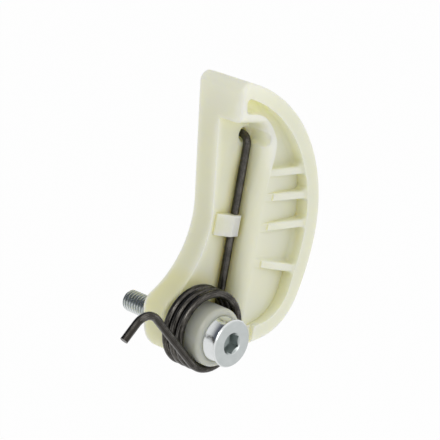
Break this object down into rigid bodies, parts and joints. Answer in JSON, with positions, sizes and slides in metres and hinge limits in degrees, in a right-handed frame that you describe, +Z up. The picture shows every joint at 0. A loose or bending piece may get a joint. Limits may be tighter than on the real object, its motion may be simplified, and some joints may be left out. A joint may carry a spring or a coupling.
{
  "type": "oil pump chain tensioner",
  "caption": "Curved moulded slide blade that swings on a shoulder bolt and is pressed against an oil pump drive chain by a torsion spring coiled round its pivot.",
  "frame": {"origin": "on the pivot axis, in the face of the engine block that the shoulder bolt seats on", "axes": "+Y along the bolt's thread into the block, -Y towards the bolt head, +Z up the blade, +X towards the chain"},
  "size_m": [0.0742, 0.0393, 0.0757],
  "materials": {
    "polyamide": "satin natural polyamide",
    "zinc_steel": "bright zinc plated",
    "spring_steel": "dark oil-tempered wire"
  },
  "bodies": {
    "bolt": {"shoulder_bolt": "zinc_steel"},
    "blade": {"blade": "polyamide", "torsion_spring": "spring_steel"}
  },
  "joints": [
    {"name": "blade_pivot", "type": "hinge", "parent": "bolt", "child": "blade", "pos_m": [0, 0, 0], "axis": [0, -1, 0], "range_deg": [0, 28], "stiffness_Nm_per_rad": 0.9, "deforming": ["torsion_spring"]}
  ]
}
